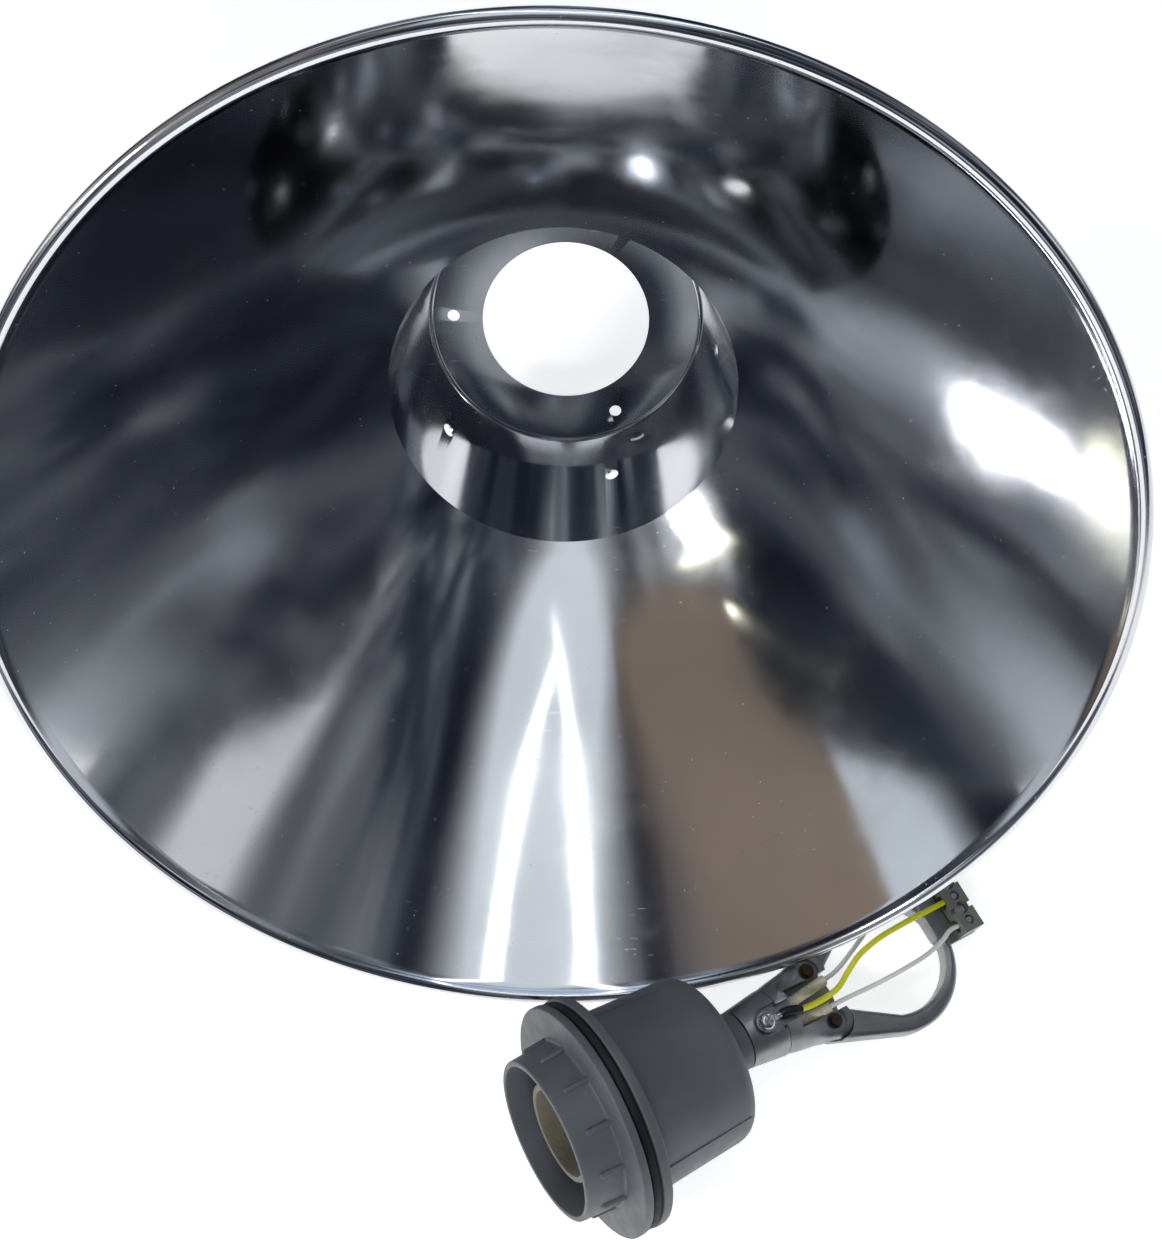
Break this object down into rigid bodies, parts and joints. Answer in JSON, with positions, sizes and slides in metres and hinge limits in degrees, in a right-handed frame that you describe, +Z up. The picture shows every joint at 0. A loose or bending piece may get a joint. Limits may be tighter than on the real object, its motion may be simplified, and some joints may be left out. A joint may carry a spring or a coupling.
{
  "type": "industrial pendant lamp",
  "caption": "Deep spun aluminium reflector lying on its side, and the lampholder with lock ring, cast yoke, hanging loop and wires that belongs in its neck.",
  "frame": {"origin": "middle of the bounding box's bottom face, on the surface that both halves lie on", "axes": "+Z up, -Y the way that the reflector's mouth faces, +X towards the hook end of the lampholder"},
  "size_m": [0.41, 0.4403, 0.355],
  "materials": {
    "mirror": "mirror polished, spun",
    "plastic": "matt moulded",
    "rubber": "matt",
    "ceramic": "unglazed",
    "brass": "satin",
    "steel": "zinc plated",
    "casting": "die cast, satin",
    "block": "translucent moulded",
    "sleeve": "braided glass fibre",
    "yellow": "smooth",
    "white": "smooth",
    "shrink": "shrunk sleeve"
  },
  "bodies": {
    "holder_body": {"housing": "plastic", "ceramic_socket": "ceramic", "screw_shell": "brass", "contact_base": "brass", "socket_screw_a": "steel", "socket_screw_b": "steel", "socket_terminal_a": "brass", "socket_terminal_b": "brass", "socket_terminal_screw_a": "steel", "socket_terminal_screw_b": "steel", "neck_tube": "casting", "nipple": "steel", "nipple_nut": "steel", "earth_screw": "steel", "earth_washer": "steel", "ring_terminal": "steel", "heat_shrink": "shrink", "earth_wire": "yellow", "yoke": "casting", "yoke_bolt_a": "steel", "yoke_bolt_b": "steel", "hook_loop": "casting", "terminal_block": "block", "terminal_insert_1": "brass", "terminal_insert_2": "brass", "terminal_insert_3": "brass", "terminal_screw_1": "steel", "terminal_screw_2": "steel", "terminal_screw_3": "steel", "block_screw_a": "steel", "block_screw_b": "steel", "lead_a": "white", "lead_b": "white", "sleeve_a": "sleeve", "sleeve_b": "sleeve"},
    "gasket_body": {"gasket": "rubber"},
    "lock_ring_body": {"lock_ring": "plastic"},
    "contact_body": {"centre_contact": "brass"},
    "reflector_body": {"reflector": "mirror"}
  },
  "joints": [
    {"name": "reflector_lift", "type": "slide", "parent": "holder_body", "child": "reflector_body", "axis": [0, 0.5, 0.866], "range_m": [0, 0.15]},
    {"name": "gasket_slide", "type": "slide", "parent": "holder_body", "child": "gasket_body", "axis": [-0.8532, -0.4498, 0.264], "range_m": [0, 0.0122]},
    {"name": "lock_ring_turn", "type": "hinge", "parent": "gasket_body", "child": "lock_ring_body", "pos_m": [-0.0052, -0.1856, 0.0526], "axis": [-0.8532, -0.4498, 0.264], "range_deg": [0, 1440]},
    {"name": "contact_press", "type": "hinge", "parent": "holder_body", "child": "contact_body", "pos_m": [0.03439, -0.16473, 0.0305], "axis": [-0.4664, 0.8846, 0], "range_deg": [0, 12], "stiffness_Nm_per_rad": 0.05}
  ],
  "couplings": [
    {"joint": "gasket_slide", "follows": "lock_ring_turn", "m_per_rad": 0.00047746}
  ]
}
